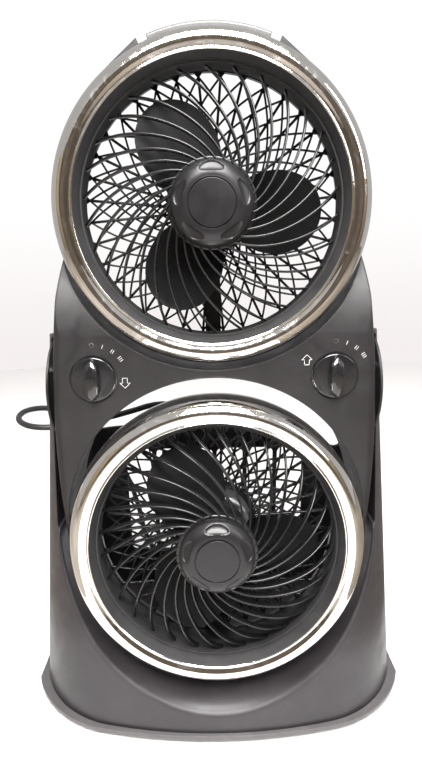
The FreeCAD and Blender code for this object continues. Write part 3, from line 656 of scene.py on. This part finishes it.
for head in ("upper", "lower"):
    for node, draw, rides, finish in HEAD_PIECES:
        name = head + "_" + node
        piece = place_piece(name + "_shape", draw(), head_place(head), head + "_" + rides,
                            finish, [name])
        if node in ("bezel_ring", "front_grille"):
            # For the faces of the throat and the rim, which have material index 1.
            piece.data.materials.append(rim_black.material)


# ---- knobs and printed marks ------------------------------------------------------------
DIAL_R = 29.6
DIAL_GAP, DIAL_LINE = 1.7, 0.45
STROKE_HALF = 1.5
ARROW_LINE = 0.5
PRINT_LIFT = 0.07
# Strokes at each of the dial's stops, and the stop's angle from straight up.
DIAL_STOPS = ((0, 0.0), (1, 18.0), (2, 36.0), (3, 54.0))


def speed_knob():
    """A disc with an upright tapered grip, drawn round the origin with its panel at y 0."""
    mesh = bmesh.new()
    lathe(mesh, outline((0.0, 1.6), [
        (19.2, 1.6), (19.4, 1.4), (19.4, -1.4), ((18.9, -2.5), (17.8, -2.9)), (8.0, -3.15),
        (0.0, -3.2),
    ], 6), 128, False)
    lathe(mesh, [(0.0, 1.0), (3.0, 1.0), (3.0, 17.7), (2.7, 18.0), (0.0, 18.0)], 48, False)
    half, reach = 5.6, 18.2
    crest, crest_fall = 13.4, 5.6
    shape = outline((-half, 8.0), [
        ((-3.6, 15.5), (0.0, reach)), ((3.6, 15.5), (half, 8.0)),
        ((half + 0.8, 0.0), (half, -8.0)), ((3.6, -15.5), (0.0, -reach)),
        ((-3.6, -15.5), (-half, -8.0)), ((-half - 0.8, 0.0), (-half, 8.0)),
    ], 10)[:-1]
    rings = []
    for inset, rise in ((0.0, 0.0), (0.15, 0.35), (0.3, 0.7), (0.45, 0.86), (0.9, 0.95),
                        (1.7, 0.99), (3.2, 1.0), (5.0, 1.0)):
        ring = []
        for x, z in shape:
            wide = math.copysign(max(0.15, abs(x) - inset), x) if abs(x) > 0.01 else 0.0
            tall = z * (1.0 - 0.55 * inset / reach)
            crown = crest - crest_fall * (abs(tall) / reach) ** 2.6
            ring.append((wide, -1.0 - (crown - 1.0) * rise, tall))
        rings.append(ring)
    loft(mesh, rings)
    return mesh


for head, x in (("lower", -KNOB_X), ("upper", KNOB_X)):
    at = Matrix.Translation(Vector((x, FRAME_FRONT, KNOB_Z)) * MM)
    place_piece(head + "_knob_shape", speed_knob(), at, head + "_knob", knob_black,
                [head + "_speed_knob"])


def flat_shape(mesh, points):
    """A thin printed patch on the panel's front."""
    loft(mesh, [[(x, y, z) for x, z in points]
                for y in (FRAME_FRONT + 0.03, FRAME_FRONT - PRINT_LIFT)])


def flat_line(mesh, points, width, closed=False):
    """A printed line of this width through the points."""
    pairs = list(zip(points, points[1:]))
    if closed:
        pairs.append((points[-1], points[0]))
    for (x0, z0), (x1, z1) in pairs:
        length = math.hypot(x1 - x0, z1 - z0)
        ux, uz = (x1 - x0) / length, (z1 - z0) / length
        reach = width / 2
        x0, z0, x1, z1 = x0 - ux * reach, z0 - uz * reach, x1 + ux * reach, z1 + uz * reach
        px, pz = -uz * reach, ux * reach
        flat_shape(mesh, [(x0 + px, z0 + pz), (x0 - px, z0 - pz),
                          (x1 - px, z1 - pz), (x1 + px, z1 + pz)])


def dial_marks(mesh, x):
    """Off, one, two and three, running clockwise from above the knob."""
    for strokes, degrees in DIAL_STOPS:
        a = math.radians(degrees)
        centre = (x + DIAL_R * math.sin(a), KNOB_Z + DIAL_R * math.cos(a))
        if strokes == 0:
            ring = [(centre[0] + DIAL_GAP * math.cos(t), centre[1] + DIAL_GAP * math.sin(t))
                    for t in steps_between(0.0, math.tau * 23 / 24, 23)]
            flat_line(mesh, ring, DIAL_LINE, True)
        for k in range(strokes):
            shift = (k - (strokes - 1) / 2) * DIAL_GAP
            bx, bz = centre[0] + shift * math.cos(a), centre[1] - shift * math.sin(a)
            rx, rz = STROKE_HALF * math.sin(a), STROKE_HALF * math.cos(a)
            flat_line(mesh, [(bx - rx, bz - rz), (bx + rx, bz + rz)], DIAL_LINE)


def block_arrow(mesh, x, z, way):
    """An outlined arrow that points up or down."""
    shape = [(0.0, 4.6), (4.4, 0.2), (2.1, 0.2), (2.1, -4.2), (-2.1, -4.2), (-2.1, 0.2),
             (-4.4, 0.2)]
    flat_line(mesh, [(x + px, z + way * pz) for px, pz in shape], ARROW_LINE, True)


marks = bmesh.new()
dial_marks(marks, -KNOB_X)
dial_marks(marks, KNOB_X)
block_arrow(marks, -76.7, 321.9, -1.0)
block_arrow(marks, 79.1, 339.4, 1.0)
place_piece("dial_print", marks, Matrix.Identity(4), "frame", print_grey)


# ---- materials of the nodes that stay ---------------------------------------------------
# The first ending that a node's name has decides. All others are the body's plastic.
FINISHES = (
    ("plug_pins", plug_brass), ("base_front_shell", base_plastic), ("_duct", duct_black),
    ("fan_nut", blade_black), ("fan_rotor", pin_steel), ("stator", motor_copper),
    ("bearings", bearing_bronze), ("_cup", motor_steel), ("_pins", pin_steel),
    ("bushes", bush_nylon), ("screws", screw_steel), ("speed_switch", switch_plastic),
    ("rubber_feet", foot_rubber), ("gland", plug_pvc), ("relief", plug_pvc),
    ("mains_plug", plug_pvc), ("carry_handle", handle_plastic), ("base_tray", tray_plastic),
)


def finish_for(name):
    for ending, finish in FINISHES:
        if name.endswith(ending):
            return finish
    return body_plastic


for name, node in NODES.items():
    node.data.materials.clear()
    node.data.materials.append(finish_for(name).material)
    node.data.shade_smooth()
    node.data.set_sharp_from_angle(angle=SHARP_KEPT)


# ---- floor and light, in metres ---------------------------------------------------------
FLOOR_R, DOME_R = 1.7, 7.5


def pale_floor():
    bpy.ops.mesh.primitive_circle_add(vertices=128, radius=FLOOR_R, fill_type="NGON",
                                      location=(0, 0, -0.0002))
    floor = bpy.context.object
    floor.name = "studio_floor"
    made = Finish("studio_floor", (0.86, 0.85, 0.845), 0.5)
    made.tint(made.noise(260.0, 3.0), (0.83, 0.82, 0.815), 0.5)
    floor.data.materials.append(made.material)


def turned_to(at, aim, face):
    """The turn that points this axis of an object from one place to another."""
    ahead = (Vector(aim) - Vector(at)).normalized()
    return ahead.to_track_quat(face, "Y").to_matrix().to_4x4()


def soft_light(name, at, aim, size, power, colour=(1.0, 1.0, 1.0)):
    data = bpy.data.lights.new(name, "AREA")
    data.shape = "RECTANGLE"
    data.size, data.size_y = size
    data.energy = power
    data.color = colour
    light = bpy.data.objects.new(name, data)
    bpy.context.scene.collection.objects.link(light)
    light.matrix_world = Matrix.Translation(at) @ turned_to(at, aim, "-Z")
    light.visible_camera = False


def studio_world():
    world = bpy.data.worlds.new("studio_world")
    bpy.context.scene.world = world
    bpy.context.scene.view_settings.view_transform = "Standard"
    world.use_nodes = True
    sky = world.node_tree.nodes["Background"]
    sky.inputs["Color"].default_value = (1.0, 0.975, 0.972, 1.0)
    sky.inputs["Strength"].default_value = 0.50


def white_surround():
    """The backdrop: a glowing white dome that only the camera sees, so that it lights nothing. Its
    glow is painted darker and warmer towards the bottom, as painted shade.
    """
    bpy.ops.mesh.primitive_uv_sphere_add(segments=48, ring_count=24, radius=DOME_R,
                                         location=(0, 0, 0))
    dome = bpy.context.object
    dome.name = "white_surround"
    made = Finish("white_surround", (0.0, 0.0, 0.0), 1.0)
    parts = made.tree.nodes.new("ShaderNodeSeparateXYZ")
    made.join(made.where, parts.inputs["Vector"])
    # Painted shade: the glow runs from warm grey low down to near white high up.
    fade = made.tree.nodes.new("ShaderNodeMix")
    fade.data_type = "RGBA"
    fade.inputs["A"].default_value = (0.88, 0.84, 0.835, 1.0)
    fade.inputs["B"].default_value = (1.0, 0.99, 0.99, 1.0)
    made.join(made.span(parts.outputs["Z"], 0.0, 1.0, -1.0, 1.5), fade.inputs["Factor"])
    made.join(fade.outputs["Result"], made.shader.inputs["Emission Color"])
    made.shader.inputs["Emission Strength"].default_value = 1.03
    dome.data.materials.append(made.material)
    dome.visible_diffuse = dome.visible_glossy = False
    dome.visible_transmission = dome.visible_shadow = False


def floor_card(name, centre, size, colour):
    """A patch of darker floor that only glossy surfaces reflect."""
    bpy.ops.mesh.primitive_plane_add(size=1.0, location=(*centre, 0.0004))
    card = bpy.context.object
    card.name = name
    card.scale = (*size, 1.0)
    made = Finish(name, colour, 0.8)
    made.tint(made.noise(300.0, 3.0), tuple(c * 0.55 for c in colour), 0.8)
    card.data.materials.append(made.material)
    card.visible_camera = card.visible_diffuse = card.visible_shadow = False


def reflector(name, at, aim, size, colour, glow=0.0):
    """A panel out of the camera's sight, for what chrome and gloss reflect.

    One that glows is a reflection only, and lights nothing else.
    """
    bpy.ops.mesh.primitive_plane_add(size=1.0)
    card = bpy.context.object
    card.name = name
    size_up = Matrix.Diagonal((*size, 1.0, 1.0))
    card.matrix_world = Matrix.Translation(at) @ turned_to(at, aim, "Z") @ size_up
    made = Finish(name, colour, 0.8)
    made.tint(made.noise(900.0, 3.0), tuple(c * 0.6 for c in colour), 0.8)
    if glow:
        made.shader.inputs["Emission Color"].default_value = (*colour, 1.0)
        made.shader.inputs["Emission Strength"].default_value = glow
    card.data.materials.append(made.material)
    card.visible_camera = False
    if glow:
        card.visible_diffuse = card.visible_shadow = False


pale_floor()
studio_world()
white_surround()
floor_card("right_floor", (1.20, -0.6), (1.9, 3.0), (0.20, 0.17, 0.135))
floor_card("left_floor", (-1.22, -0.6), (1.9, 3.0), (0.36, 0.32, 0.28))
floor_card("front_floor", (-0.01, -1.70), (0.50, 1.60), (0.20, 0.18, 0.17))
reflector("room_card", (0.0, -2.6, 0.35), (0, 0, 0.35), (5.0, 2.0), (0.15, 0.115, 0.085))
reflector("left_card", (-1.9, -1.3, 0.5), (0, 0, 0.35), (1.6, 1.6), (0.30, 0.24, 0.16))
reflector("right_card", (1.9, -1.3, 0.5), (0, 0, 0.35), (1.6, 1.6), (0.22, 0.17, 0.12))
reflector("sky_card", (0.05, -1.15, 2.1), (0, -0.1, 0.05), (1.3, 0.8), (1.0, 0.98, 0.97), 22.0)
soft_light("key_light", (-0.15, -1.45, 2.0), (0, 0, 0.3), (0.7, 0.4), 30.0, (1.0, 0.97, 0.93))
soft_light("top_light", (0.1, -0.6, 2.3), (0, 0.1, 0.1), (1.1, 0.5), 46.0)
soft_light("lip_light", (0.05, -1.45, 1.62), (0, -0.1, 0.1), (1.1, 0.35), 45.0, (1.0, 0.98, 0.97))
soft_light("side_light", (1.3, -0.9, 1.2), (0, 0, 0.3), (0.35, 0.9), 9.0)

bpy.context.view_layer.update()
